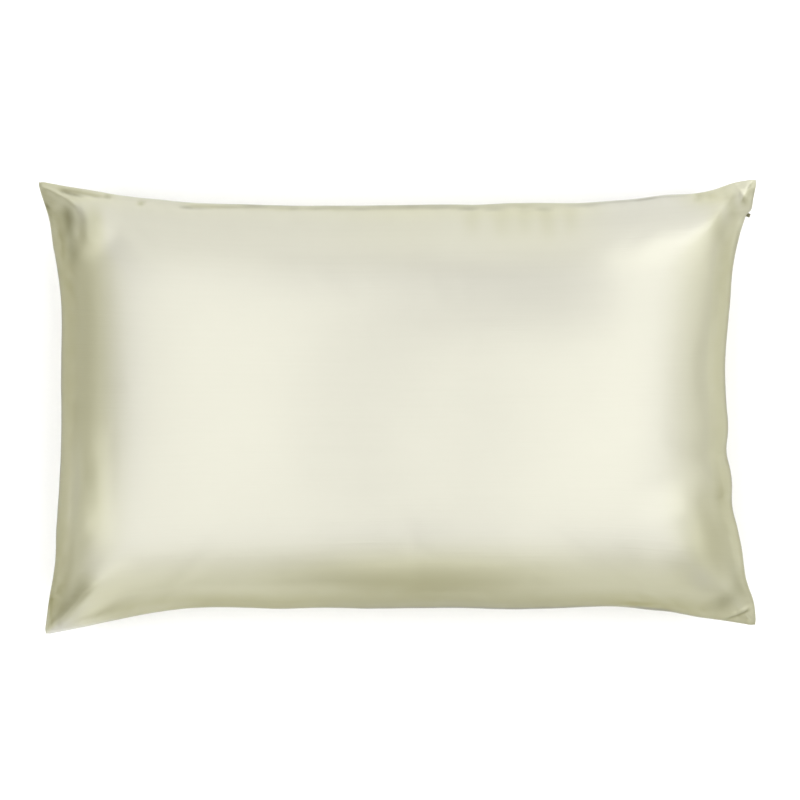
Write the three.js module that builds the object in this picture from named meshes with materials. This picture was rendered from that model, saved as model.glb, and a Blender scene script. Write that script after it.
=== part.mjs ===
// A filled pillow sham: a knife-edged satin case pulled over a plump pillow, lying on its back.
//
// Millimetres, +Z up. X runs along the pillow and Y across it, and the face looks up. The origin
// is under the middle of the pillow, on the surface that it lies on.
//
// The case is two panels seamed together round a closed outline. Filling it draws the long and
// short edges in between the corners, crowns the face, and leaves four thin ears where the seams
// meet. Its own weight flattens the back where it rests. A hidden zip closes the right-hand edge,
// and only the end of its slider shows, under the sewn end of the seam.
import * as THREE from "three";
import { RoundedBoxGeometry } from "three/addons/geometries/RoundedBoxGeometry.js";

// ---- Driving dimensions -------------------------------------------------------------------

const CORNER_SPAN_X = 738; // between the ears, along the pillow
const CORNER_SPAN_Y = 465; // between the ears, across it
const THICKNESS = 170; // from the surface to the top of the crown
const SEAM_HEIGHT = 76; // of the seam, halfway along an edge
const EAR_DROOP = 20; // how much lower the seam runs out at the ears
const BELLY = 112; // how deep the back would hang if nothing flattened it
const SETTLE = 9; // half the height over which the back rolls off the surface
const CROWN_POWER = 2.5; // 2 is an ellipse; more makes the face flatter and the sides steeper
const EAR_SPREAD = 2.4; // more keeps the thinning closer to the ears
const EAR_CREST = -1.6; // the mean that shapes an ear: 0 is round, lower is a sharper crest

// Quads along and across each panel, drawn together towards the seam by EDGE_BIAS (0 is even).
const ALONG = 58;
const ACROSS = 38;
const EDGE_BIAS = 0.62;

const HALF_X = CORNER_SPAN_X / 2;
const HALF_Y = CORNER_SPAN_Y / 2;

// Where each ear's tip lies, measured from the corner of the plain rectangle: out is away from
// the middle, and lift is above the height that the ears droop to. The two ears that reach
// furthest along each axis stand out alike, which keeps the origin under the middle.
const EARS = {
  topLeft: { outX: 3, outY: 0.5, lift: 2 },
  topRight: { outX: 0, outY: 4, lift: 8 },
  bottomLeft: { outX: -3.6, outY: 4, lift: -4 },
  bottomRight: { outX: 3, outY: -5, lift: 0 },
};

const EAR_ROUND = { in: 1.6, reach: 8 }; // how far each ear's tip is rounded off, and from where

// How far each edge is drawn in halfway along, and how it runs out to its two ears: a higher
// power keeps the edge straight for longer and turns it out more sharply.
const EDGES = {
  top: { drawnIn: 27.3, powerLow: 2.9, powerHigh: 3.8 },
  bottom: { drawnIn: 24.8, powerLow: 3.3, powerHigh: 3.1 },
  left: { drawnIn: 24.2, powerLow: 1.8, powerHigh: 3.2 },
  right: { drawnIn: 32.5, powerLow: 2.1, powerHigh: 2.6 },
};

const WAVE_DEPTH = 80; // how far in from its edge a wave dies out

// Where an edge leaves that even curve: at is the distance along the edge from its middle
// (+X or +Y), reach is half the length of the wave, and out is how far it stands out.
const EDGE_WAVES = [
  { edge: "top", at: -276, reach: 44, out: -1.4 },
  { edge: "top", at: -205, reach: 80, out: -2.2 },
  { edge: "top", at: -118, reach: 60, out: -1.3 },
  { edge: "top", at: -50, reach: 80, out: -0.8 },
  { edge: "top", at: 83, reach: 36, out: -1.2 },
  { edge: "top", at: 120, reach: 110, out: 1.2 },
  { edge: "top", at: 184, reach: 40, out: -1 },
  { edge: "top", at: 268, reach: 30, out: 1 },
  { edge: "top", at: 312, reach: 36, out: -2 },
  { edge: "top", at: 346, reach: 24, out: 1.6 },
  { edge: "bottom", at: -215, reach: 130, out: -6.8 },
  { edge: "bottom", at: -82, reach: 56, out: -1.8 },
  { edge: "bottom", at: 112, reach: 66, out: 1.8 },
  { edge: "bottom", at: 225, reach: 70, out: -3.9 },
  { edge: "bottom", at: 280, reach: 32, out: -2 },
  { edge: "left", at: -158, reach: 44, out: -2.2 },
  { edge: "left", at: 108, reach: 84, out: -3 },
  { edge: "left", at: 190, reach: 30, out: -1.8 },
  { edge: "right", at: 226, reach: 22, out: 2.4 },
  { edge: "right", at: 200, reach: 26, out: 2 },
  { edge: "right", at: 142, reach: 42, out: -1.4 },
  { edge: "right", at: 38, reach: 60, out: -2 },
  { edge: "right", at: -20, reach: 24, out: 0.8 },
  { edge: "right", at: -50, reach: 18, out: -2.6 },
  { edge: "right", at: -80, reach: 26, out: 1.2 },
  { edge: "right", at: -106, reach: 22, out: -1.4 },
  { edge: "right", at: -150, reach: 44, out: 2.4 },
  { edge: "right", at: -206, reach: 30, out: 3.6 },
];

// ---- Folds ----------------------------------------------------------------------------------

const SWELL_START = 0.12; // the share of the crown's height at which a swell has its full height

// Broad swells in the filling under the face: reach is half their size along and across.
const FILLING_SWELLS = [
  { at: [-150, -20], reach: [190, 150], high: 2.5 },
  { at: [66, -20], reach: [100, 190], high: -2.5 },
  { at: [236, 20], reach: [110, 170], high: 2.5 },
  { at: [110, 170], reach: [120, 70], high: -2.5 },
  { at: [20, -150], reach: [110, 70], high: -4 },
];

// Soft ridges (high > 0) and troughs (high < 0) in the face, from one point to another in plan.
// Each is seen by someone who walks along it: its middle bows out by bow to their right, it
// reaches as far as left and right on their two sides, and it rises over the first share of its
// length and dies away over the last. sharp runs from 0, a rounded swell, to 1, a crease.
const FACE_FOLDS = [
  {
    name: "top left hip", from: [-372, 230], to: [-332, 128], bow: -39, left: 36, right: 26,
    high: 7.5, sharp: 0.7, rise: 0.35, fall: 0.6,
  },
  {
    name: "top left crest", from: [-370, 230], to: [-318, 203], bow: -1, left: 8, right: 9,
    high: 2.6, sharp: 1, rise: 0.2, fall: 0.4,
  },
  {
    name: "top left trough", from: [-352, 225], to: [-316, 210], bow: 1, left: 8, right: 8,
    high: -2.4, sharp: 0.5, rise: 0.3, fall: 0.4,
  },
  {
    name: "top left rim trough", from: [-349, 225], to: [-292, 213], bow: 2.5, left: 8, right: 8,
    high: -2, sharp: 0.4, rise: 0.3, fall: 0.3,
  },
  {
    name: "top left dimple", from: [-345, 208], to: [-320, 172], bow: -2, left: 13, right: 13,
    high: -2, sharp: 0, rise: 0.4, fall: 0.5,
  },
  {
    name: "left flank", from: [-334, 30], to: [-328, -165], bow: 0, left: 45, right: 24,
    high: 4, sharp: 0, rise: 0.35, fall: 0.3,
  },
  {
    name: "top tuck", from: [-240, 207], to: [-150, 206], bow: 0, left: 8, right: 8,
    high: 3, sharp: 0, rise: 0.5, fall: 0.4,
  },
  {
    name: "top right valley", from: [344, 240], to: [359, 204], bow: 0, left: 11, right: 8,
    high: -2.2, sharp: 1, rise: 0.5, fall: 0.4,
  },
  {
    name: "top right hip", from: [362, 232], to: [312, 120], bow: 20, left: 26, right: 50,
    high: 4.5, sharp: 0.4, rise: 0.3, fall: 0.6,
  },
  {
    name: "top right pucker", from: [339, 234], to: [331, 212], bow: 0, left: 8, right: 8,
    high: -2.6, sharp: 0.4, rise: 0.4, fall: 0.4,
  },
  {
    name: "bottom left crest", from: [-380, -262], to: [-265, -152], bow: -6, left: 20, right: 70,
    high: 6, sharp: 1, rise: 0.2, fall: 0.5,
  },
  {
    name: "bottom left rim", from: [-368, -231], to: [-262, -206], bow: 3, left: 30, right: 14,
    high: 6, sharp: 0, rise: 0.15, fall: 0.6,
  },
  {
    name: "bottom right crease", from: [335, -219.5], to: [366, -207.5], bow: 0.5, left: 8, right: 8,
    high: -1.2, sharp: 0.6, rise: 0.3, fall: 0.3,
  },
  {
    name: "bottom right swell", from: [276, -70], to: [314, -205], bow: 0, left: 40, right: 60,
    high: 4, sharp: 0, rise: 0.3, fall: 0.5,
  },
  {
    name: "bottom roll", from: [204, -203], to: [272, -207], bow: 0, left: 8, right: 8,
    high: 3.5, sharp: 0.4, rise: 0.5, fall: 0.4,
  },
  {
    name: "right edge fold", from: [350, -50], to: [326, -60], bow: 0, left: 9, right: 9,
    high: -2, sharp: 0, rise: 0.5, fall: 0.4,
  },
  {
    name: "right edge swell", from: [350, -80], to: [322, -90], bow: 0, left: 14, right: 14,
    high: 1.2, sharp: 0, rise: 0.5, fall: 0.4,
  },
];

const CREASE_SOFTNESS = 0.1; // how round the very top of a crease is, for a reach of 1
const CREASE_POWER = 1.4; // more makes a crease's flanks hollower
const FOLD_START = 5; // how far in from the seam a fold has its full height

// Small puckers that run in from the top seam: at is along it, deep is how far they sink.
const TOP_PUCKERS = [
  { at: -294, long: 18, half: 8, deep: 2 },
  { at: -262, long: 22, half: 8, deep: 2 },
  { at: -110, long: 26, half: 9, deep: 2.4 },
  { at: -62, long: 26, half: 11, deep: 2.4 },
  { at: 12, long: 26, half: 9, deep: 2.4 },
  { at: 60, long: 34, half: 9, deep: 2.8 },
  { at: 128, long: 24, half: 10, deep: 2.4 },
  { at: 196, long: 26, half: 11, deep: 2.4 },
];

// ---- Zip ------------------------------------------------------------------------------------

// The seam is sewn from the top right ear down to here, and stands out past the zip below it.
const SEWN_END = { at: 197, long: 36, step: 3, out: 4, deep: 24 };
const SLIDER = { wide: 4.4, long: 4.4, thick: 3, radius: 0.9 };
const CLEARANCE = 0.35; // between the slider and the cloth

// ---- Curves that shape the case ---------------------------------------------------------------

const mix = (a, b, share) => a + (b - a) * share;
const clamp01 = (x) => Math.min(1, Math.max(0, x));
const smooth = (x) => clamp01(x) ** 2 * (3 - 2 * clamp01(x));
const bell = (distance, reach) => smooth(1 - Math.abs(distance) / reach);

// How far an edge's even curve lies outside the straight line between its ears.
function drawnOut(name, share) {
  const { drawnIn, powerLow, powerHigh } = EDGES[name];
  return -drawnIn * (1 - Math.abs(share) ** (share < 0 ? powerLow : powerHigh));
}

function waveOut(name, along) {
  const waves = EDGE_WAVES.filter((wave) => wave.edge === name);
  return waves.reduce((out, wave) => out + wave.out * bell(along - wave.at, wave.reach), 0);
}

function sewnEndOut(along) {
  const starts = smooth((along - SEWN_END.at) / SEWN_END.step + 0.5);
  return SEWN_END.out * starts * smooth((SEWN_END.at + SEWN_END.long - along) / SEWN_END.long);
}

// The plan position of a point of either panel; s and t run from -1 to 1 along and across it.
// The even curves shape the whole panel, and the waves in an edge die out a little way in.
function planAt(s, t) {
  const { topLeft, topRight, bottomLeft, bottomRight } = EARS;
  const left = -HALF_X - mix(bottomLeft.outX, topLeft.outX, (t + 1) / 2) - drawnOut("left", t);
  const right = HALF_X + mix(bottomRight.outX, topRight.outX, (t + 1) / 2) + drawnOut("right", t);
  const low = -HALF_Y - mix(bottomLeft.outY, bottomRight.outY, (s + 1) / 2) - drawnOut("bottom", s);
  const high = HALF_Y + mix(topLeft.outY, topRight.outY, (s + 1) / 2) + drawnOut("top", s);
  const along = s * HALF_X;
  const across = t * HALF_Y;
  const near = (gap, depth) => smooth(1 - gap / depth);
  const wavesX = waveOut("right", across) * near(HALF_X - along, WAVE_DEPTH)
    - waveOut("left", across) * near(HALF_X + along, WAVE_DEPTH);
  const wavesY = waveOut("top", along) * near(HALF_Y - across, WAVE_DEPTH)
    - waveOut("bottom", along) * near(HALF_Y + across, WAVE_DEPTH);
  const sewnX = sewnEndOut(across) * near(HALF_X - along, SEWN_END.deep);
  const tip = bell(HALF_X - Math.abs(along), EAR_ROUND.reach)
    * bell(HALF_Y - Math.abs(across), EAR_ROUND.reach);
  return [
    mix(left, right, (s + 1) / 2) + wavesX + sewnX - EAR_ROUND.in * tip * Math.sign(s),
    mix(low, high, (t + 1) / 2) + wavesY - EAR_ROUND.in * tip * Math.sign(t),
  ];
}

// The height of the seam, carried on across the middle of the case.
function seamHeightAt(s, t) {
  const { topLeft, topRight, bottomLeft, bottomRight } = EARS;
  const lift = mix(
    mix(bottomLeft.lift, bottomRight.lift, (s + 1) / 2),
    mix(topLeft.lift, topRight.lift, (s + 1) / 2),
    (t + 1) / 2,
  );
  return SEAM_HEIGHT - (EAR_DROOP - lift) * Math.abs(s * t) ** 3;
}

// 0 on the seam and 1 at the middle: blunt where an edge is drawn in, and thin out at the ears.
function crownAt(s, t) {
  const a = 1 - Math.abs(s) ** CROWN_POWER;
  const b = 1 - Math.abs(t) ** CROWN_POWER;
  if (a <= 0 || b <= 0) return 0;
  const round = Math.sqrt(a * b);
  const crested = ((a ** EAR_CREST + b ** EAR_CREST) / 2) ** (1 / EAR_CREST);
  const earShare = ((1 - a) * (1 - b)) ** EAR_SPREAD;
  return round * (crested / round) ** earShare * mix(1, round, earShare);
}

function swellHeight(swell, x, y) {
  return swell.high * bell(x - swell.at[0], swell.reach[0]) * bell(y - swell.at[1], swell.reach[1]);
}

// How much of a fold there is at a point in plan, from 0 to 1.
function foldShare(fold, x, y) {
  const [x0, y0] = fold.from;
  const [x1, y1] = fold.to;
  const length = Math.hypot(x1 - x0, y1 - y0);
  const share = ((x - x0) * (x1 - x0) + (y - y0) * (y1 - y0)) / length ** 2;
  const straight = ((x - x0) * (y1 - y0) - (y - y0) * (x1 - x0)) / length;
  const beside = straight - fold.bow * 4 * share * (1 - share);
  const off = Math.min(1, Math.abs(beside) / (beside < 0 ? fold.left : fold.right));
  const crease = Math.max(0, 1 - Math.hypot(off, CREASE_SOFTNESS)) ** CREASE_POWER;
  const ends = smooth(share / fold.rise) * smooth((1 - share) / fold.fall);
  return ends * mix(bell(off, 1), crease, fold.sharp);
}

function puckerHeight(pucker, x, inFromSeam) {
  return -pucker.deep * bell(x - pucker.at, pucker.half) * smooth(1 - inFromSeam / pucker.long);
}

function faceHeightAt(s, t) {
  const [x, y] = planAt(s, t);
  const crown = crownAt(s, t);
  const inFromTop = planAt(s, 1)[1] - y;
  const inFromSeam = Math.min((1 - Math.abs(s)) * HALF_X, (1 - Math.abs(t)) * HALF_Y);
  let swells = 0;
  let folds = 0;
  for (const swell of FILLING_SWELLS) swells += swellHeight(swell, x, y);
  for (const pucker of TOP_PUCKERS) swells += puckerHeight(pucker, x, inFromTop);
  for (const fold of FACE_FOLDS) folds += fold.high * foldShare(fold, x, y);
  const filled = seamHeightAt(s, t) + (THICKNESS - SEAM_HEIGHT) * crown;
  return filled + swells * smooth(crown / SWELL_START) + folds * smooth(inFromSeam / FOLD_START);
}

// The back hangs below the seam, and rolls smoothly on to the surface where it would pass it.
function backHeightAt(s, t) {
  const hanging = seamHeightAt(s, t) - BELLY * crownAt(s, t);
  if (hanging <= -SETTLE) return 0;
  return hanging >= SETTLE ? hanging : (hanging + SETTLE) ** 2 / (4 * SETTLE);
}

// ---- The filled case ----------------------------------------------------------------------------

// The shares of a panel's grid lines, with any extra ones that a step in an edge needs.
function gridLines(count, extra) {
  const even = Array.from({ length: count + 1 }, (_, k) => (2 * k) / count - 1);
  const drawn = even.map((share) => mix(share, Math.sin((share * Math.PI) / 2), EDGE_BIAS));
  return [...drawn, ...extra].sort((a, b) => a - b);
}

// Both panels share the points of the seam, so that the case is one closed body.
function filledCaseGeometry() {
  const stepEnds = [-SEWN_END.step / 2, SEWN_END.step / 2];
  const columns = gridLines(ALONG, []);
  const rows = gridLines(ACROSS, stepEnds.map((off) => (SEWN_END.at + off) / HALF_Y));
  const points = [];
  const face = [];
  const back = [];
  rows.forEach((t, j) => columns.forEach((s, i) => {
    const onSeam = i % (columns.length - 1) === 0 || j % (rows.length - 1) === 0;
    const [x, y] = planAt(s, t);
    face.push(points.length / 3);
    points.push(x, y, onSeam ? seamHeightAt(s, t) : faceHeightAt(s, t));
    back.push(onSeam ? face.at(-1) : points.length / 3);
    if (!onSeam) points.push(x, y, backHeightAt(s, t));
  }));
  const triangles = [];
  for (let j = 0; j + 1 < rows.length; j += 1) {
    for (let i = 0; i + 1 < columns.length; i += 1) {
      const low = j * columns.length + i;
      const high = low + columns.length;
      const corners = [low, low + 1, high + 1, high];
      // Each quad is split along the diagonal that runs towards the nearer ear.
      const turn = columns[i] < 0 === rows[j] < 0 ? 0 : 1;
      const [a, b, c, d] = corners.map((_, k) => corners[(k + turn) % 4]);
      triangles.push(face[a], face[b], face[c], face[a], face[c], face[d]);
      triangles.push(back[a], back[c], back[b], back[a], back[d], back[c]);
    }
  }
  const geometry = new THREE.BufferGeometry();
  geometry.setAttribute("position", new THREE.Float32BufferAttribute(points, 3));
  geometry.setIndex(triangles);
  geometry.computeVertexNormals();
  return geometry;
}

// ---- The slider's end ---------------------------------------------------------------------------

// It lies along the seam, just below the sewn end and just outside the cloth.
function sliderEnd(material) {
  const middle = SEWN_END.at - SEWN_END.step / 2 - SLIDER.long / 2 - CLEARANCE;
  const [lowX, lowY] = planAt(1, (middle - SLIDER.long / 2) / HALF_Y);
  const [highX, highY] = planAt(1, (middle + SLIDER.long / 2) / HALF_Y);
  const lean = Math.atan2(highX - lowX, highY - lowY);
  const { wide, long, thick, radius } = SLIDER;
  const slider = new THREE.Mesh(new RoundedBoxGeometry(wide, long, thick, 2, radius), material);
  const out = wide / 2 + CLEARANCE;
  slider.rotation.z = -lean;
  slider.position.set(
    (lowX + highX) / 2 + out * Math.cos(lean),
    (lowY + highY) / 2 - out * Math.sin(lean),
    seamHeightAt(1, middle / HALF_Y),
  );
  return slider;
}

const satin = new THREE.MeshStandardMaterial({ color: 0xd6d4bb, roughness: 0.42, metalness: 0 });
const zinc = new THREE.MeshStandardMaterial({ color: 0x5f5d3f, roughness: 0.45, metalness: 0.3 });
satin.name = "satin";
zinc.name = "painted_zinc";

const filledCase = new THREE.Mesh(filledCaseGeometry(), satin);
filledCase.name = "filled_case";

const zipSlider = sliderEnd(zinc);
zipSlider.name = "zip_slider";

const sham = new THREE.Group();
sham.add(filledCase, zipSlider);

export default sham;
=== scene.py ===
"""A filled satin pillow sham lying on its back, seen square on to its face."""

import math

import bmesh
import bpy
import numpy as np
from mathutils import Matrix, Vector


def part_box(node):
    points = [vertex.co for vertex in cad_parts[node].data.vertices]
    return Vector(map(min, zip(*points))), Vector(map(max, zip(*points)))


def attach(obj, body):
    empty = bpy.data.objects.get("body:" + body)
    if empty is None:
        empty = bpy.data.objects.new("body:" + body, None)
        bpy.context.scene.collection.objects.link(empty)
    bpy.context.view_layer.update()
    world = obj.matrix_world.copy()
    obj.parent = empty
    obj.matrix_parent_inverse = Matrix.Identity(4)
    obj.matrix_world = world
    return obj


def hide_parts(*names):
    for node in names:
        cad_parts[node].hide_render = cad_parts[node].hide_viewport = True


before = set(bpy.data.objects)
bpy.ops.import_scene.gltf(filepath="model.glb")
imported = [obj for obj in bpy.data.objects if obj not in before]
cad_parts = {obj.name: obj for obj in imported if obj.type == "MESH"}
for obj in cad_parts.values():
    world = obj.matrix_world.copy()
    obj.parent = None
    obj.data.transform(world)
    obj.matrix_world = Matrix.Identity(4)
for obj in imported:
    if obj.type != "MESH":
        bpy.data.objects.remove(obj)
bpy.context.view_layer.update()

# ---- The filled case ------------------------------------------------------------------------
# Two satin panels, cut 510 x 760 mm, seamed together round the edge, turned, and filled by a
# plump pillow. Filling draws the edges in between the corners, crowns the face and leaves thin
# ears where the seams meet. Its own weight flattens the back. Sizes here are in millimetres.
MM = 0.001
case_low, case_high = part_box("filled_case")
SPAN_X, SPAN_Y, THICKNESS = (case_high - case_low) / MM
# How far the furthest ears on the two sides of the case stand outside its plain rectangle, halved
# between the sides.
FURTHEST_EAR_X, FURTHEST_EAR_Y = 1.57, 2.4
HALF_X = SPAN_X / 2 - FURTHEST_EAR_X
HALF_Y = SPAN_Y / 2 - FURTHEST_EAR_Y

SEAM_HEIGHT = 76.0  # of the seam, halfway along an edge
EAR_DROOP = 20.0  # how much lower the seam runs out at the ears
DROOP_POWER = 3  # more keeps the droop closer to the ears
BELLY = 112.0  # how deep the back would hang if nothing flattened it
SETTLE = 9.0  # half the height over which the back rolls off the surface
CROWN_POWER = 2.5  # 2 is an ellipse; more makes the face flatter and the sides steeper
EAR_SPREAD = 2.4  # more keeps the thinning closer to the ears
EAR_CREST = -1.6  # the mean that shapes an ear: 0 is round, lower is a sharper crest
ON_SEAM, LEAST_CROWN = 1e-8, 1e-9  # what counts as no crown at all, and the least that is worked with
WAVE_DEPTH = 80.0  # how far in from its edge a wave dies out

# Each ear: how far it stands outside the plain rectangle in x and in y, and its lift above the
# droop.
OUT_X, OUT_Y, LIFT = range(3)
EARS = {
    "top left": (3.0, 0.5, 2.0),
    "top right": (0.0, 2.5, 8.0),
    "bottom left": (-3.6, 4.5, -4.0),
    "bottom right": (2.0, -5.0, 0.0),
}

# Each edge: how far it is drawn in halfway along, and its power towards the low and high ear.
EDGES = {
    "top": (27.3, 2.9, 3.8),
    "bottom": (24.8, 3.3, 3.1),
    "left": (24.2, 1.8, 3.2),
    "right": (32.5, 2.1, 2.6),
}

# Waves in the edges: (edge, place along it, half its length, how far it stands out).
EDGE_WAVES = [
    ("top", -276, 44, -1.4),
    ("top", -205, 80, -2.2),
    ("top", -118, 60, -1.3),
    ("top", -50, 80, -0.8),
    ("top", 83, 36, -1.2),
    ("top", 120, 110, 1.2),
    ("top", 184, 40, -1.0),
    ("top", 268, 30, 1.0),
    ("top", 312, 36, -2.0),
    ("top", 346, 24, 1.6),
    ("bottom", -215, 130, -6.8),
    ("bottom", -82, 56, -1.8),
    ("bottom", 112, 66, 1.8),
    ("bottom", 225, 70, -3.9),
    ("bottom", 280, 32, -2.0),
    ("left", -158, 44, -2.2),
    ("left", 108, 84, -3.0),
    ("left", 190, 30, -1.8),
    ("right", 200, 26, 2.0),
    ("right", 226, 22, 2.4),
    ("right", 142, 42, -1.4),
    ("right", 38, 60, -2.0),
    ("right", -20, 24, 0.8),
    ("right", -50, 18, -2.6),
    ("right", -80, 26, 1.2),
    ("right", -106, 22, -1.4),
    ("right", -150, 44, 2.4),
    ("right", -206, 30, 3.6),
]

EAR_ROUND, EAR_ROUND_REACH = 1.6, 8.0  # how far each ear's tip is rounded off, and from how far

# Past the zip's end the seam is sewn, and stands out: where it starts, how long it takes to come
# back in, how short its step is, how far it stands out, and how far in from the edge it reaches.
SEWN_END_AT, SEWN_END_LONG, SEWN_END_STEP, SEWN_END_OUT, SEWN_END_DEEP = 197, 36, 3, 4, 24

# Broad swells of the filling under the face: (x, y, reach along, reach across, height).
FILLING_SWELLS = [
    (-150, -20, 190, 150, 2.5),
    (66, -20, 100, 190, -2.5),
    (236, 20, 110, 170, 2.5),
    (110, 170, 120, 70, -2.5),
    (20, -150, 110, 70, -4),
]
SWELLS_FROM = 0.12  # the share of the crown from which the swells have their full height


def smooth(x):
    """Eases from 0 to 1 as x runs from 0 to 1."""
    x = np.clip(x, 0.0, 1.0)
    return x * x * (3 - 2 * x)


def bell(distance, reach):
    """1 in the middle, easing to 0 at its reach on either side."""
    return smooth(1 - np.abs(distance) / reach)


def mix(a, b, share):
    return a + (b - a) * share


def over_ears(column, s, t):
    """A value that the four ears give, blended over the panel."""
    low = mix(EARS["bottom left"][column], EARS["bottom right"][column], (s + 1) / 2)
    high = mix(EARS["top left"][column], EARS["top right"][column], (s + 1) / 2)
    return mix(low, high, (t + 1) / 2)


def drawn_out(edge, share):
    """How far an edge stands out from the plain rectangle, before its waves: it is drawn in."""
    drawn_in, low, high = EDGES[edge]
    return -drawn_in * (1 - np.abs(share) ** np.where(share < 0, low, high))


def wave_out(edge, along):
    """How far an edge's waves stand out at a place along it."""
    return sum(out * bell(along - at, reach) for name, at, reach, out in EDGE_WAVES if name == edge)


def plan_at(s, t):
    """Where a point of either panel lies in plan; s and t run from -1 to 1 over the panel."""
    along, across = s * HALF_X, t * HALF_Y
    left = -HALF_X - over_ears(OUT_X, -1, t) - drawn_out("left", t)
    right = HALF_X + over_ears(OUT_X, 1, t) + drawn_out("right", t)
    low = -HALF_Y - over_ears(OUT_Y, s, -1) - drawn_out("bottom", s)
    high = HALF_Y + over_ears(OUT_Y, s, 1) + drawn_out("top", s)
    x = mix(left, right, (s + 1) / 2)
    x += wave_out("right", across) * smooth(1 - (HALF_X - along) / WAVE_DEPTH)
    x -= wave_out("left", across) * smooth(1 - (HALF_X + along) / WAVE_DEPTH)
    sewn = smooth((across - SEWN_END_AT) / SEWN_END_STEP + 0.5)
    sewn = sewn * smooth((SEWN_END_AT + SEWN_END_LONG - across) / SEWN_END_LONG)
    x += SEWN_END_OUT * sewn * smooth(1 - (HALF_X - along) / SEWN_END_DEEP)
    y = mix(low, high, (t + 1) / 2)
    y += wave_out("top", along) * smooth(1 - (HALF_Y - across) / WAVE_DEPTH)
    y -= wave_out("bottom", along) * smooth(1 - (HALF_Y + across) / WAVE_DEPTH)
    tip = bell(HALF_X - np.abs(along), EAR_ROUND_REACH) * bell(HALF_Y - np.abs(across), EAR_ROUND_REACH)
    x -= EAR_ROUND * tip * np.sign(s)
    y -= EAR_ROUND * tip * np.sign(t)
    return x, y


def seam_height_at(s, t):
    return SEAM_HEIGHT - (EAR_DROOP - over_ears(LIFT, s, t)) * np.abs(s * t) ** DROOP_POWER


def crown_at(s, t):
    """0 on the seam and 1 at the middle: blunt halfway along an edge, and thin at the ears."""
    a = np.clip(1 - np.abs(s) ** CROWN_POWER, LEAST_CROWN, 1)
    b = np.clip(1 - np.abs(t) ** CROWN_POWER, LEAST_CROWN, 1)
    round_ = np.sqrt(a * b)
    crested = ((a**EAR_CREST + b**EAR_CREST) / 2) ** (1 / EAR_CREST)
    ear_share = ((1 - a) * (1 - b)) ** EAR_SPREAD
    crown = round_ * (crested / round_) ** ear_share * mix(1, round_, ear_share)
    return np.where((a <= ON_SEAM) | (b <= ON_SEAM), 0.0, crown)


def case_points(s, t, side, fill=1.0):
    """The points of both panels: side is 1 on the face, -1 on the back and 0 on the seam."""
    x, y = plan_at(s, t)
    crown, seam = crown_at(s, t), seam_height_at(s, t)
    swells = sum(
        high * bell(x - at_x, reach_x) * bell(y - at_y, reach_y)
        for at_x, at_y, reach_x, reach_y, high in FILLING_SWELLS
    )
    face = seam + (THICKNESS - SEAM_HEIGHT) * crown * fill + swells * smooth(crown / SWELLS_FROM)
    hanging = seam - BELLY * crown
    settled = np.clip(hanging + SETTLE, 0, None) ** 2 / (4 * SETTLE)
    back = np.where(hanging >= SETTLE, hanging, settled)
    z = np.where(side > 0, face, np.where(side < 0, back, seam))
    return np.stack([x, y, z], axis=-1)


# Quads along and across each panel, drawn together towards the seam by EDGE_BIAS (0 is even).
ALONG, ACROSS, EDGE_BIAS = 128, 84, 0.75

# The simulation: how full the case starts, how much larger its panels are cut than it needs,
# how many frames it settles for, the most that a point may move, and the share of the movement
# that the face keeps, because all of it would bury the finer folds.
START_FILL, SPARE_CLOTH, SETTLING_FRAMES, MOST_MOVED, FACE_SHARE = 0.98, 0.006, 20, 6.0, 0.2


def panel_pair():
    """Both flat panels, joined round the edge, with (s, t, side) as the points' coordinates."""
    bm = bmesh.new()
    bmesh.ops.create_grid(bm, x_segments=ALONG, y_segments=ACROSS, size=1.0)
    inner = [v for v in bm.verts if not v.is_boundary]
    made = bmesh.ops.duplicate(bm, geom=bm.verts[:] + bm.edges[:] + bm.faces[:])["geom"]
    back = [e for e in made if isinstance(e, bmesh.types.BMFace)]
    back_inner = [e for e in made if isinstance(e, bmesh.types.BMVert) and not e.is_boundary]
    bmesh.ops.reverse_faces(bm, faces=back)
    bmesh.ops.translate(bm, verts=inner, vec=(0, 0, 1))
    bmesh.ops.translate(bm, verts=back_inner, vec=(0, 0, -1))
    bmesh.ops.remove_doubles(bm, verts=bm.verts[:], dist=1e-5)
    mesh = bpy.data.meshes.new("case_panels")
    bm.to_mesh(mesh)
    bm.free()
    return mesh


def read_rows(data, name):
    """What each point holds under this name, in rows of three."""
    flat = np.empty(len(data) * 3, np.float32)
    data.foreach_get(name, flat)
    return flat.reshape(-1, 3).astype(float)


def write_points(mesh, points):
    mesh.vertices.foreach_set("co", np.asarray(points, np.float32).ravel())
    mesh.update()


case_mesh = panel_pair()
panel = read_rows(case_mesh.vertices, "co")
panel[:, :2] = mix(panel[:, :2], np.sin(panel[:, :2] * math.pi / 2), EDGE_BIAS)
shares = case_mesh.attributes.new("panel", "FLOAT_VECTOR", "POINT")
shares.data.foreach_set("vector", panel.astype(np.float32).ravel())
sewn_shape = case_points(panel[:, 0], panel[:, 1], panel[:, 2])
write_points(case_mesh, case_points(panel[:, 0], panel[:, 1], panel[:, 2], START_FILL) * MM)

case = bpy.data.objects.new("satin_case", case_mesh)
bpy.context.scene.collection.objects.link(case)

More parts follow.
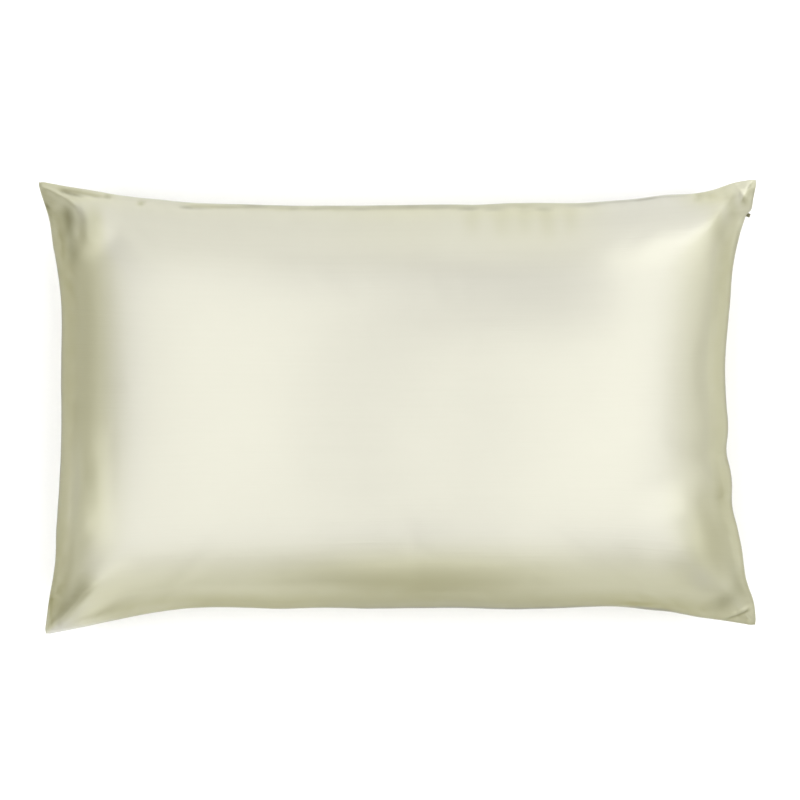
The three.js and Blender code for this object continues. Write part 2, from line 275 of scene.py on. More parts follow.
# The filling presses the two panels out against their seam, which stays where it is sewn. A panel
# cut a little large for its filling buckles softly, most of all beside the seam.
seam_points = case.vertex_groups.new(name="seam")
seam_points.add([int(k) for k in np.flatnonzero(panel[:, 2] == 0)], 1.0, "REPLACE")
filling = case.modifiers.new("filling", "CLOTH")
filling.settings.vertex_group_mass = "seam"
filling.settings.use_pressure = True
filling.settings.uniform_pressure_force = 4.0
filling.settings.shrink_min = -SPARE_CLOTH
filling.settings.bending_stiffness = 0.3
filling.settings.effector_weights.gravity = 0.0
filling.point_cache.frame_end = SETTLING_FRAMES
for number in range(1, SETTLING_FRAMES + 1):
    bpy.context.scene.frame_set(number)
evaluated = case.evaluated_get(bpy.context.evaluated_depsgraph_get())
moved = read_rows(evaluated.data.vertices, "co") / MM - sewn_shape
case.modifiers.remove(filling)
case.vertex_groups.clear()
bpy.context.scene.frame_set(1)
reach = np.linalg.norm(moved, axis=1, keepdims=True)
moved *= np.minimum(1, MOST_MOVED / np.maximum(reach, 1e-6))
moved *= np.where(panel[:, 2] > 0, FACE_SHARE, 1.0 * (panel[:, 2] < 0))[:, None]
sewn_shape += moved
sewn_shape[:, 2] = np.where(panel[:, 2] < 0, np.maximum(sewn_shape[:, 2], 0), sewn_shape[:, 2])
write_points(case_mesh, sewn_shape * MM)

# One step of subdivision rounds the quads off; the creases are then laid into the fine mesh.
rounding = case.modifiers.new("rounding", "SUBSURF")
rounding.levels = rounding.render_levels = 1
fine_mesh = bpy.data.meshes.new_from_object(case.evaluated_get(bpy.context.evaluated_depsgraph_get()))
case.modifiers.remove(rounding)
case.data = fine_mesh
fine_mesh.shade_smooth()

# Folds in the face: (from x, y, to x, y, how far its middle bows to the right of that line, how
# far it reaches to the left and to the right, height, how sharp its crest is from 0 to 1, the
# shares of its length over which it rises at the first end and dies away at the other, and how
# dark the painted shade in its hollow is). A fold with no height is painted shade alone.
FACE_FOLDS = [
    (-372, 230, -332, 128, -39.0, 38, 28, 7.5, 0.1, 0.35, 0.6, 0),
    (-371, 228, -318, 192, -3.8, 4, 5.5, 2.6, 1.0, 0.15, 0.35, 0),
    (-352, 225, -316, 210, 1.0, 4, 4, -2.4, 0.5, 0.3, 0.4, 0.40),
    (-349, 225, -292, 213, 2.5, 4, 5, -2.0, 0.4, 0.3, 0.3, 0.22),
    (-302, 216, -291, 212, 0, 5, 5, -1.5, 0, 0.4, 0.4, 0.25),
    (-267, 208, -256, 206, 0, 5, 5, -1.5, 0, 0.4, 0.4, 0.25),
    (-345, 208, -320, 172, -2.0, 13, 13, -1.6, 0, 0.4, 0.5, 0.26),
    (-376, 208, -350, 204, 0, 6, 6, -0.6, 0, 0.2, 0.5, 0.28),
    (-338, 206, -326, 136, 0, 10, 9, 0, 0, 0.3, 0.4, 0.24),
    (-310, 208, -300, 150, 0, 14, 20, 0, 0, 0.4, 0.5, 0.26),
    (-240, 207, -150, 206, 0, 7, 7, 3.0, 0, 0.5, 0.4, 0),
    (61, 205, 60, 180, 0, 4, 4, 0.7, 0, 0.3, 0.6, 0),
    (76, 206, 74, 164, 0, 13, 14, 0, 0, 0.2, 0.6, 0.09),
    (103, 206, 106, 160, 0, 17, 14, 0, 0, 0.2, 0.6, 0.09),
    (128, 206, 127, 164, 0, 14, 14, 0, 0, 0.2, 0.6, 0.08),
    (150, 206, 152, 158, 0, 14, 13, 0, 0, 0.2, 0.6, 0.10),
    (175, 206, 174, 164, 0, 13, 10, 0, 0, 0.2, 0.6, 0.08),
    (-331, 30, -325, -160, 0, 45, 26, 3.2, 0, 0.35, 0.3, 0),
    (344, 240, 359, 204, 0, 11, 5, -1.8, 0.9, 0.5, 0.4, 0),
    (362, 232, 312, 120, 20.0, 26, 50, 2.8, 0.4, 0.3, 0.6, 0),
    (350, 205, 368, 234, 0, 2.5, 14, 0, 0, 0.25, 0.2, 0.28),
    (339, 234, 331, 212, 0, 6, 6, -1.6, 0.4, 0.4, 0.4, 0.04),
    (326, 228, 319, 210, 0, 6, 6, 1.8, 0.2, 0.5, 0.4, 0),
    (312, 223, 304, 203, 0, 7, 7, -2.6, 0.3, 0.5, 0.4, 0.12),
    (324, 206, 326, 158, 0, 16, 14, 0, 0, 0.4, 0.4, 0.12),
    (338, 222, 342, 186, 0, 12, 10, 0, 0, 0.3, 0.4, 0.14),
    (-380, -262, -265, -152, -8.5, 20, 70, 6, 1.0, 0.2, 0.5, 0),
    (-306, -36, -302, -130, 0, 12, 12, 0, 0, 0.4, 0.4, 0.10),
    (-360, -233, -297, -171, 0, 22, 6, 0, 0, 0.45, 0.3, 0.24),
    (-368, -231, -262, -206, 3.0, 30, 14, 6, 0, 0.15, 0.6, 0),
    (337, -217, 365, -205, 0.5, 2.5, 2.5, 1.0, 0.6, 0.3, 0.3, 0),
    (335, -219.5, 366, -207.5, 0.5, 2.5, 2.5, -0.8, 0.6, 0.3, 0.3, 0.4),
    (312, -216, 366, -176, 0, 16, 15, 0, 0, 0.4, 0.6, 0.18),
    (204, -203, 272, -207, 0, 7, 7, 3.5, 0.4, 0.5, 0.4, 0),
    (276, -70, 314, -205, 0, 40, 60, 4, 0, 0.3, 0.5, 0),
    (350, -50, 326, -60, 0, 7, 7, -2, 0, 0.5, 0.4, 0.1),
    (350, -80, 322, -90, 0, 14, 14, 1.2, 0, 0.5, 0.4, 0),
]

# Folds in the back, in the same columns without the last: the case gathers towards its ears, and
# creases where its flanks roll down on to the surface.
BACK_FOLDS = [
    (-352, 212, -262, 150, 6, 10, 14, 3.4, 0.5, 0.3, 0.5),
    (-340, 190, -300, 96, -8, 12, 16, -2.6, 0.3, 0.3, 0.5),
    (-300, 204, -216, 176, 3, 9, 9, 2.2, 0.4, 0.3, 0.5),
    (350, 214, 268, 146, -7, 12, 12, 3.2, 0.5, 0.3, 0.5),
    (336, 176, 318, 92, 4, 14, 12, -2.4, 0.2, 0.3, 0.5),
    (-356, -216, -276, -150, -5, 12, 12, 3.0, 0.5, 0.3, 0.5),
    (-322, -198, -236, -172, 2, 10, 12, -2.2, 0.3, 0.3, 0.5),
    (354, -208, 280, -142, 6, 12, 16, 3.4, 0.5, 0.3, 0.5),
    (330, -150, 322, -60, -4, 12, 12, 2.0, 0.2, 0.3, 0.5),
    (40, -198, 130, -184, -3, 10, 14, 2.0, 0.2, 0.4, 0.4),
    (-120, 200, -20, 186, 3, 12, 10, 2.2, 0.2, 0.4, 0.4),
]

# Small puckers that run in from the top seam: (place along it, length, half its width, depth).
TOP_PUCKERS = [
    (-262, 30, 9, 2.4),
    (-110, 26, 9, 2.0),
    (-62, 26, 11, 2.0),
    (12, 26, 9, 2.0),
    (60, 34, 9, 2.4),
    (128, 24, 10, 2.0),
    (196, 26, 11, 2.0),
]

# The thread draws the cloth up a little along every seam: (wavelength, height) of each ripple.
SEAM_RIPPLES = [(31.0, 0.45), (17.3, 0.35), (9.1, 0.2)]
RIPPLE_DEPTH = 24.0  # how far in from the seam they die out
END_SHIFT, LONG_SHIFT = 90, 40  # how far the ripples of opposite edges are out of step
PANEL_SHIFT = 2  # and those of the two panels, each way, in radians

# How far in from the seam each of these takes to reach its full height: the folds of the face and
# of the back, the puckers and the ripples. The back's also die away below this height.
FACE_FOLDS_FROM, BACK_FOLDS_FROM, PUCKERS_FROM, RIPPLES_FROM, BACK_FOLDS_ABOVE = 5, 20, 9, 9, 12
UPRIGHT_WITHIN = 25  # how near the seam a fold begins to stand straight up

# The two panels roll over into the seam, and further into the slit that the zip closes. A narrower
# roll taken from a wider one leaves the stitches in a valley.
SEAM_ROLL, ZIP_ROLL, ROLL_WIDTH, VALLEY_WIDTH, NO_ROLL_AT_EAR = 1.0, 1.4, 6.0, 2.4, 20
ZIP_FROM, ZIP_TO, ZIP_LOW_STEP, ZIP_HIGH_STEP = -188.0, 195.0, 6, 3
SEAM_SIDE = 0.01  # a point whose side is nearer 0 than this lies on the seam
CREST_ROUND, CREST_POWER = 0.01, 1.4  # how blunt a sharp fold's crest is, and how hollow its slopes


def fold_share(course, sharp, rise, fall, x, y):
    """How much of a fold's full height there is at each place, from 0 to 1."""
    x0, y0, x1, y1, bow, left, right = course
    length = math.hypot(x1 - x0, y1 - y0)
    share = ((x - x0) * (x1 - x0) + (y - y0) * (y1 - y0)) / length**2
    to_right = ((x - x0) * (y1 - y0) - (y - y0) * (x1 - x0)) / length
    to_right = to_right - bow * 4 * share * (1 - share)
    off = np.clip(np.abs(to_right) / np.where(to_right < 0, left, right), 0, 1)
    roof = np.clip(1 - np.sqrt(off**2 + CREST_ROUND), 0, 1) ** CREST_POWER
    ends = smooth(share / rise) * smooth((1 - share) / fall)
    return ends * mix(bell(off, 1), roof, sharp)


s, t, side = read_rows(fine_mesh.attributes["panel"].data, "vector").T
points = read_rows(fine_mesh.vertices, "co") / MM
outward = read_rows(fine_mesh.vertex_normals, "vector")
x, y, z = points.T
on_face, on_back = side > SEAM_SIDE, side < -SEAM_SIDE
from_end, from_long = (1 - np.abs(s)) * HALF_X, (1 - np.abs(t)) * HALF_Y
from_seam = np.minimum(from_end, from_long)
along_seam = np.where(from_end < from_long, y + END_SHIFT * np.sign(s), x + LONG_SHIFT * np.sign(t))

relief = np.zeros(len(s))
shade = np.zeros(len(s))
for *course, high, sharp, rise, fall, dark in FACE_FOLDS:
    present = on_face * fold_share(course, sharp, rise, fall, x, y)
    relief += high * present
    shade = 1 - (1 - shade) * (1 - dark * present)
relief *= smooth(from_seam / FACE_FOLDS_FROM)
for *course, high, sharp, rise, fall in BACK_FOLDS:
    creased = on_back * high * fold_share(course, sharp, rise, fall, x, y)
    relief += creased * smooth(from_seam / BACK_FOLDS_FROM) * smooth(z / BACK_FOLDS_ABOVE)
for at, long, half, deep in TOP_PUCKERS:
    pucker = bell(x - at, half) * smooth(1 - from_long / long) * smooth(from_long / PUCKERS_FROM)
    relief -= on_face * deep * pucker * (t > 0)
for wavelength, high in SEAM_RIPPLES:
    rippled = np.sin(2 * math.pi * along_seam / wavelength + PANEL_SHIFT * side)
    relief += high * rippled * smooth(1 - from_seam / RIPPLE_DEPTH) * smooth(from_seam / RIPPLES_FROM)

# A fold of the face stands out along the cloth's normal, and straight up where it meets the seam.
off_seam = smooth(from_seam / UPRIGHT_WITHIN)
outward[:, 2] = np.where(on_face, mix(1, outward[:, 2], off_seam), outward[:, 2])
outward[:, :2] *= np.where(on_face, off_seam, 1)[:, None]
points += outward * relief[:, None]

in_zip = smooth((y - ZIP_FROM) / ZIP_LOW_STEP) * smooth((ZIP_TO - y) / ZIP_HIGH_STEP) * (s > 0)
roll = mix(SEAM_ROLL, ZIP_ROLL, in_zip) * smooth(np.maximum(from_end, from_long) / NO_ROLL_AT_EAR)
for column, sign, inset in ((0, np.sign(s), from_end), (1, np.sign(t), from_long)):
    points[:, column] += sign * roll * (smooth(1 - inset / ROLL_WIDTH) - smooth(1 - inset / VALLEY_WIDTH))
write_points(fine_mesh, points * MM)

# Painted light and shade in the cloth's colour, from 0 on the crown to 1 along the seam, where
# painted shade stands in for the shade of the cloth rolling into it. The flanks, which turn away
# from the lights, get painted shade, and so do the hollows of the folds. Painted light makes the
# colour paler along the top, over the ears, and in a few places beside its other edges.
CREST_BLEND, CREASE_BLEND = 30, 12  # how gently one edge's colour passes into the next one's
FOLD_DEEPENS = 1.5  # how much deeper a fold's colour gets for each part of its shade

# A flank's painted shade reaches FLANK_WIDE in from its seam, and eases out over FLANK_EASE.
# It is a little lighter on the right, and darker on the left from the low ear up (in t),
# halfway along the low edge, and in a patch near the low right ear. The seam's deeper painted
# shade is laid over it.
FLANK_DEEP, FLANK_WIDE, FLANK_EASE = 0.4, 96, 68
RIGHT_PALER, LEFT_DEEPER, LOW_DEEPER, CORNER_DEEPER = 0.08, 0.12, 0.25, 0.22
LEFT_FROM, LEFT_EASE = -0.9, 0.8
LOW_MIDDLE, LOW_REACH = 20, 190
CORNER_X, CORNER_X_REACH, CORNER_Y, CORNER_Y_REACH = 318, 60, -140, 80
SEAM_WIDE, SEAM_EASE, RIGHT_SEAM_PALER = 30, 26, 0.3

# An ear's colour eases out over EAR_EASE, measured both ways from its tip together, and is gone by
# EAR_END times that.
EAR_EASE, EAR_END = 90, 1.15

# Painted light along the top: how much paler it makes the colour, how much more so towards the
# right, and the stretches where it is less, as (place, reach, how much less). Just inside the seam
# a line takes some of it back, as a line of painted shade.
TOP_PALE, TOP_RIGHT_PALER, TOP_RIGHT_FROM, TOP_RIGHT_EASE = 0.8, 0.2, 180, 60
TOP_PALE_FROM, TOP_PALE_EASE = 0.3, 0.5  # in shares of the way from the middle to the top seam
TOP_LESS_PALE = [(10, 120, 0.15), (132, 90, 0.25)]
LINE_INSET, LINE_HALF, LINE_DEEPER = 4.5, 5, 0.45
LINE_FROM, LINE_FROM_EASE, LINE_TO, LINE_TO_EASE = -230, 30, 215, 200

# How much paler painted light makes each ear. The low left one is made as pale as the crown, but
# only below the crease that runs in from it.
TOP_RIGHT_EAR_PALE, TOP_LEFT_EAR_PALE, LOW_RIGHT_EAR_PALE = 0.75, 0.45, 0.45


def nearer(one, other, blend):
    """1 where the first of two distances is the shorter, easing to 0 where the other is."""
    return smooth((other - one) / blend + 0.5)


near_long = nearer(from_long, from_end, CREST_BLEND)
near_end = nearer(from_end, from_long, CREST_BLEND)
near_top = near_long * (t > 0)
near_low = near_long * (t < 0) * bell(x - LOW_MIDDLE, LOW_REACH)
near_left = near_end * (s < 0) * smooth((t - LEFT_FROM) / LEFT_EASE)
near_right = near_end * (s > 0)
near_ear = smooth(EAR_END - (from_end + from_long) / EAR_EASE)

pale_ear = TOP_RIGHT_EAR_PALE * (t > 0) * (s > 0) + TOP_LEFT_EAR_PALE * (t > 0) * (s < 0)
pale_ear += LOW_RIGHT_EAR_PALE * (t < 0) * (s > 0)
pale_ear += nearer(from_long, from_end, CREASE_BLEND) * (s < 0) * (t < 0)
pale_top = TOP_PALE + TOP_RIGHT_PALER * smooth((x - TOP_RIGHT_FROM) / TOP_RIGHT_EASE)
for at, reach, less in TOP_LESS_PALE:
    pale_top -= less * bell(x - at, reach)
line = LINE_DEEPER * bell(from_long - LINE_INSET, LINE_HALF)
pale_top *= 1 - line * smooth((x - LINE_FROM) / LINE_FROM_EASE) * smooth((LINE_TO - x) / LINE_TO_EASE)
pale_top = pale_top * smooth((t - TOP_PALE_FROM) / TOP_PALE_EASE) * near_top
pale = np.maximum(pale_top * (1 - near_ear), pale_ear * near_ear)

flank_shade = FLANK_DEEP - RIGHT_PALER * near_right + LEFT_DEEPER * near_left + LOW_DEEPER * near_low
flank_shade *= smooth((FLANK_WIDE - from_seam) / FLANK_EASE)
flank_shade += CORNER_DEEPER * bell(x - CORNER_X, CORNER_X_REACH) * bell(y - CORNER_Y, CORNER_Y_REACH)
seam_shade = smooth((SEAM_WIDE - from_seam) / SEAM_EASE)
seam_shade = seam_shade * (1 - RIGHT_SEAM_PALER * (s > 0) * (from_end < from_long))
EDGE_SIDES = {"top": t > 0, "bottom": t < 0, "right": s > 0, "left": s < 0}


def from_edge(edge):
    """How far each point is from an edge of the case, and its place along that edge."""
    return (from_long, x) if edge in ("top", "bottom") else (from_end, y)


def painted_light_at(edge, at, long, inset, wide):
    """1 at a place beside an edge of the case, easing to 0 along the edge and across it."""
    across, along = from_edge(edge)
    return EDGE_SIDES[edge] * bell(along - at, long) * bell(across - inset, wide)


# Places beside the edges where painted light makes the colour paler: (edge, place along it, half
# the length, how far from the seam, half the width, how much paler).
PAINTED_LIGHT_PLACES = [
    ("left", -78, 82, 26, 12, 0.35),
    ("left", -152, 30, 15, 10, 0.20),
    ("left", -158, 34, 50, 28, 0.30),
    ("left", -184, 44, 9, 13, 0.20),
    ("left", -219, 14, 17, 16, 0.40),
    ("right", -148, 62, 14, 16, 0.25),
    ("right", -176, 24, 53, 26, 0.35),
    ("bottom", -255, 75, 6, 13, 0.25),
]
painted_light = sum(paler * painted_light_at(*place) for *place, paler in PAINTED_LIGHT_PLACES)
depth = mix(flank_shade, 1, seam_shade) * (1 - pale) * (1 - painted_light)
# Painted shade in a fold's hollow deepens the colour as well.
depth = mix(depth, 1, np.clip(FOLD_DEEPENS * shade, 0, 1))

# Painted shade beside the seam, where the cloth tucks in and keeps the light out: (edge, from, to,
# how far the middle of the tuck lies from the seam, half its width, how dark from 0 to 1).
TUCKS = [
    ("top", -390, 390, 1, 10, 0.22),
    ("top", -390, 390, 1, 3, 0.15),
    ("top", -240, 215, 5, 9, 0.08),
    ("top", -223, -206, 7.5, 3.5, 0.45),
    ("top", -216, -186, 7, 4, 0.28),
    ("top", -196, -150, 5.6, 3, 0.30),
    ("top", -162, -130, 3, 4, 0.45),
    ("top", -146, -98, 1.5, 3.5, 0.33),
    ("top", -112, -98, 5, 3.5, 0.23),
    ("top", -94, -66, 4.5, 3.5, 0.23),
    ("top", -76, -48, 2.5, 3, 0.25),
    ("top", -47, -27, 5.5, 3.5, 0.25),
    ("top", -34, 8, 3, 4, 0.25),
    ("top", -2, 32, 3, 3.6, 0.35),
    ("top", 24, 62, 4, 5, 0.25),
    ("top", 60, 84, 6, 4, 0.35),
    ("top", 86, 110, 8, 4, 0.21),
    ("top", 136, 160, 9, 5, 0.24),
    ("top", 166, 216, 4, 4, 0.21),
    ("top", 240, 268, 3.4, 2, 0.35),
    ("top", 186, 306, 3.4, 1.4, 0.40),
    ("bottom", -390, -190, 1, 3, 0.20),
    ("bottom", -250, 390, 1, 3.5, 0.58),
    ("bottom", -120, 225, 0, 30, 0.32),
    ("bottom", -60, 240, 1, 4, 0.84),
    ("bottom", 232, 286, 2.8, 2.8, 0.80),
    ("bottom", 60, 200, 1, 3.5, 0.5),
    ("bottom", 225, 320, 1, 3, 0.45),
    ("bottom", 290, 380, 1, 3, 0.30),
    ("right", -250, 250, 1, 4.5, 0.74),
    ("right", 145, 187, 3, 4, 0.25),
    ("right", -200, -150, 12, 16, 0.10),
    ("left", -228, 245, 1, 4.5, 0.85),
]
TUCK_ENDS = 0.5  # less gives a tuck blunter ends
for edge, start, end, inset, half, dark in TUCKS:
    across, along = from_edge(edge)
    run = bell(along - (start + end) / 2, (end - start) / 2) ** TUCK_ENDS
    tuck = dark * run * bell(across - inset, half) * EDGE_SIDES[edge] * on_face
    shade = 1 - (1 - shade) * (1 - tuck)

# The painted light and shade go to the material as two attributes.
for name, values in (("painted_shading", depth), ("tuck_shade", shade)):
    shown = fine_mesh.attributes.new(name, "FLOAT", "POINT")
    shown.data.foreach_set("value", values.astype(np.float32))


def linear(hex_colour):
    """An sRGB hex colour as linear RGBA."""
    parts = [int(hex_colour[i : i + 2], 16) / 255 for i in (0, 2, 4)]
    return [c / 12.92 if c <= 0.04045 else ((c + 0.055) / 1.055) ** 2.4 for c in parts] + [1.0]


def add_node(material, kind, settings=None, **links):
    """Adds a node, sets its properties and sockets, and links its inputs from other sockets."""
    node = material.node_tree.nodes.new(kind)
    for name, value in (settings or {}).items():
        if name in node.inputs:
            node.inputs[name].default_value = value
        else:
            setattr(node, name, value)
    for name, source in links.items():
        material.node_tree.links.new(source, node.inputs[name.replace("_", " ")])
    return node


# Silk satin, woven with long warp floats that lie side by side along the case and are calendered
# flat: a smooth cloth that mirrors a window as one broad soft patch, fades to its own sage colour
# where it turns away, and shows the warp only as a faint grain. The floats lie so close that they
# mirror more than plain silk (IOR 1.54) does, and their mirror is faintly yellow.
satin = bpy.data.materials.new("silk_satin")
satin.use_nodes = True
satin_shader = satin.node_tree.nodes["Principled BSDF"]
satin_shader.inputs["IOR"].default_value = 1.85
satin_shader.inputs["Specular IOR Level"].default_value = 1.0
satin_shader.inputs["Specular Tint"].default_value = linear("ffffea")

# The cloth's own sage shows over the crown. Painted shade deepens it to a shaded sage over the
# flanks and to olive along the seam, and the painted shade of the tucks and of the folds' hollows
# takes it nearly to black.
CROWN_SAGE, FLANK_SHADED_SAGE, SEAM_SHADE_OLIVE, PAINTED_SHADE_OLIVE = "adaba1", "aba98e", "767135", "2c2a06"
painted_shading = add_node(satin, "ShaderNodeAttribute", {"attribute_name": "painted_shading"})
sage = add_node(satin, "ShaderNodeValToRGB", Fac=painted_shading.outputs["Fac"])
sage.color_ramp.elements[0].color = linear(CROWN_SAGE)
sage.color_ramp.elements[1].color = linear(SEAM_SHADE_OLIVE)
sage.color_ramp.elements.new(FLANK_DEEP).color = linear(FLANK_SHADED_SAGE)

# Places on each panel in millimetres, with the warp along the first axis. A float is really about
# 0.1 mm wide: it is drawn 0.9 mm wide here, the finest that still shows at arm's length.
FLOAT_WIDTH, FLOAT_LENGTH, SLUB_WIDTH, SLUB_LENGTH, CLOUD = 0.9, 26.0, 3.2, 170.0, 75.0
PANELS_APART = 40  # keeps the pattern of one panel from showing again on the other
panel_place = add_node(satin, "ShaderNodeAttribute", {"attribute_name": "panel"})


def panel_noise(long, wide, detail):
    """Noise in patches of this length along the warp and this width across it, in millimetres."""
    drawn_to = (HALF_X / long, HALF_Y / wide, PANELS_APART)
    place = add_node(satin, "ShaderNodeMapping", {"Scale": drawn_to}, Vector=panel_place.outputs["Vector"])
    return add_node(
        satin,
        "ShaderNodeTexNoise",
        {"Scale": 1.0, "Detail": detail, "Roughness": 0.55},
        Vector=place.outputs["Vector"],
    )


floats = panel_noise(FLOAT_LENGTH, FLOAT_WIDTH, 1.0)
slubs = panel_noise(SLUB_LENGTH, SLUB_WIDTH, 2.0)
clouds = panel_noise(CLOUD, CLOUD, 3.0)

# Slubs and faint clouds vary how bright the dyed colour is, from DYE_LEAST up to a little over it.
DYE_LEAST, SLUB_SHARE, CLOUD_SHARE = 0.945, 0.05, 0.06
uneven = add_node(satin, "ShaderNodeMath", {"operation": "MULTIPLY_ADD"}, Value=slubs.outputs["Fac"])
uneven.inputs[1].default_value = SLUB_SHARE
uneven.inputs[2].default_value = DYE_LEAST
clouded = add_node(satin, "ShaderNodeMath", {"operation": "MULTIPLY_ADD"}, Value=clouds.outputs["Fac"])
clouded.inputs[1].default_value = CLOUD_SHARE
satin.node_tree.links.new(uneven.outputs["Value"], clouded.inputs[2])
# The painted shade of the tucks and the folds' hollows mixes the colour towards a near-black olive.
tuck_shade = add_node(satin, "ShaderNodeAttribute", {"attribute_name": "tuck_shade"})
tuck_shaded = add_node(satin, "ShaderNodeMix", {"data_type": "RGBA"}, Factor=tuck_shade.outputs["Fac"])
satin.node_tree.links.new(sage.outputs["Color"], tuck_shaded.inputs["A"])
tuck_shaded.inputs["B"].default_value = linear(PAINTED_SHADE_OLIVE)
# The dye's slubs and clouds then scale the colour, painted shade and all.
dyed_and_shaded = add_node(satin, "ShaderNodeVectorMath", {"operation": "SCALE"})
satin.node_tree.links.new(tuck_shaded.outputs["Result"], dyed_and_shaded.inputs[0])
satin.node_tree.links.new(clouded.outputs["Value"], dyed_and_shaded.inputs["Scale"])
satin.node_tree.links.new(dyed_and_shaded.outputs["Vector"], satin_shader.inputs["Base Color"])

# Floats that lie flat mirror a little more sharply than those that a slub lifts. The floats and
# the slubs both leave their grain in the surface.
sheen_spread = add_node(
    satin,
    "ShaderNodeMapRange",
    {"From Min": 0.25, "From Max": 0.75, "To Min": 0.32, "To Max": 0.38},
    Value=slubs.outputs["Fac"],
)
satin.node_tree.links.new(sheen_spread.outputs["Result"], satin_shader.inputs["Roughness"])
grain = add_node(
    satin,
    "ShaderNodeBump",
    {"Strength": 0.35, "Distance": 0.00012},
    Height=floats.outputs["Fac"],
)
lifted = add_node(
    satin,
    "ShaderNodeBump",
    {"Strength": 0.4, "Distance": 0.00025},
    Height=slubs.outputs["Fac"],
    Normal=grain.outputs["Normal"],
)
satin.node_tree.links.new(lifted.outputs["Normal"], satin_shader.inputs["Normal"])
fine_mesh.materials.append(satin)

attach(case, "root")
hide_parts("filled_case")

# ---- The zip's slider ---------------------------------------------------------------------------
# The end of a small die-cast zinc slider, stove-enamelled to match the cloth: an upper and a lower
# plate joined by a neck, with flanges that fold in over the teeth and a lug for the missing tab.
# It rides on the hidden zip, and stops under the sewn end of the right-hand seam.
slider_low, slider_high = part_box("zip_slider")
slider_middle = (Vector(slider_low) + Vector(slider_high)) / 2
SLIDER_LONG, SLIDER_WIDE, SLIDER_THICK = 3.8, 3.6, (slider_high[2] - slider_low[2]) / MM
PLATE_THICK, FLANGE_THICK, NECK_WIDE, LUG_WIDE, LUG_LONG = 0.85, 0.6, 1.3, 1.5, 2.6
LUG_HIGH = 0.55
SLIDER_TUCKED = 0.6  # how far it sits in under the edge of the cloth
lower_z = -SLIDER_THICK / 2 + PLATE_THICK / 2
upper_z = SLIDER_THICK / 2 - LUG_HIGH - PLATE_THICK / 2
between = (lower_z + upper_z) / 2
flange_out = (SLIDER_WIDE - FLANGE_THICK) / 2
flange_high = (upper_z - lower_z - PLATE_THICK) / 3

# Each casting block: (middle x, y, z, width, length, height, radius of its edges).
SLIDER_BLOCKS = [
    (0, 0, lower_z, SLIDER_WIDE, SLIDER_LONG, PLATE_THICK, 0.35),
    (0, 0, upper_z, SLIDER_WIDE, SLIDER_LONG, PLATE_THICK, 0.35),
    (0, 0.7, between, NECK_WIDE, 2.0, upper_z - lower_z, 0.15),
    (-flange_out, -0.5, lower_z + PLATE_THICK / 2, FLANGE_THICK, 2.8, 2 * flange_high, 0.12),
    (flange_out, -0.5, lower_z + PLATE_THICK / 2, FLANGE_THICK, 2.8, 2 * flange_high, 0.12),
    (0, 0.2, SLIDER_THICK / 2 - LUG_HIGH / 2 - 0.1, LUG_WIDE, LUG_LONG, LUG_HIGH + 0.2, 0.3),
]
bm = bmesh.new()
for x0, y0, z0, wide, long, high, radius in SLIDER_BLOCKS:
    made = bmesh.ops.create_cube(bm, size=1.0)["verts"]
    bmesh.ops.scale(bm, vec=(wide, long, high), verts=made)
    bmesh.ops.translate(bm, vec=(x0, y0, z0), verts=made)
    edges = list({edge for vert in made for edge in vert.link_edges})
    bmesh.ops.bevel(bm, geom=edges, offset=radius, segments=3, profile=0.5, affect="EDGES", material=-1)
slider_mesh = bpy.data.meshes.new("slider")
bm.to_mesh(slider_mesh)
bm.free()

# It lies along the seam, which leans a little where it runs out to the ear.
slider_ends = [SEWN_END_AT - SEWN_END_STEP - below for below in (SLIDER_LONG, 0)]
(low_x, low_y), (high_x, high_y) = [plan_at(1.0, along / HALF_Y) for along in slider_ends]
lean = math.atan2(float(high_x - low_x), float(high_y - low_y))
turned = read_rows(slider_mesh.vertices, "co") * MM
slider_turn = np.array([[math.cos(lean), math.sin(lean)], [-math.sin(lean), math.cos(lean)]])
turned[:, :2] = turned[:, :2] @ slider_turn.T
write_points(slider_mesh, turned + np.array(slider_middle) - np.array([SLIDER_TUCKED * MM, 0, 0]))
slider_mesh.shade_smooth()
slider = bpy.data.objects.new("slider", slider_mesh)
bpy.context.scene.collection.objects.link(slider)

# Stove enamel over cast zinc: an even olive with a faint orange peel, that darkens a little where
# the coat lies thicker. PEEL_SIZE is the distance in millimetres between its dimples.
enamel = bpy.data.materials.new("enamelled_zinc")
enamel.use_nodes = True
enamel_shader = enamel.node_tree.nodes["Principled BSDF"]
PEEL_SIZE, THICK_OLIVE, THIN_OLIVE = 0.7143, "4d4b2f", "66643f"
slider_place = add_node(enamel, "ShaderNodeTexCoord")
peel = add_node(
    enamel,
    "ShaderNodeTexNoise",
    {"Scale": 1 / (PEEL_SIZE * MM), "Detail": 2.0},
    Vector=slider_place.outputs["Object"],
)
coat = add_node(enamel, "ShaderNodeValToRGB", Fac=peel.outputs["Fac"])
coat.color_ramp.elements[0].position = 0.3
coat.color_ramp.elements[1].position = 0.7
coat.color_ramp.elements[0].color = linear(THICK_OLIVE)
coat.color_ramp.elements[1].color = linear(THIN_OLIVE)
enamel.node_tree.links.new(coat.outputs["Color"], enamel_shader.inputs["Base Color"])
rough_coat = add_node(
    enamel,
    "ShaderNodeMapRange",
    {"To Min": 0.32, "To Max": 0.5},
    Value=peel.outputs["Fac"],
)
enamel.node_tree.links.new(rough_coat.outputs["Result"], enamel_shader.inputs["Roughness"])
peeled = add_node(
    enamel,
    "ShaderNodeBump",
    {"Strength": 0.3, "Distance": 0.00004},
    Height=peel.outputs["Fac"],
)
enamel.node_tree.links.new(peeled.outputs["Normal"], enamel_shader.inputs["Normal"])
slider_mesh.materials.append(enamel)

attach(slider, "root")
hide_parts("zip_slider")

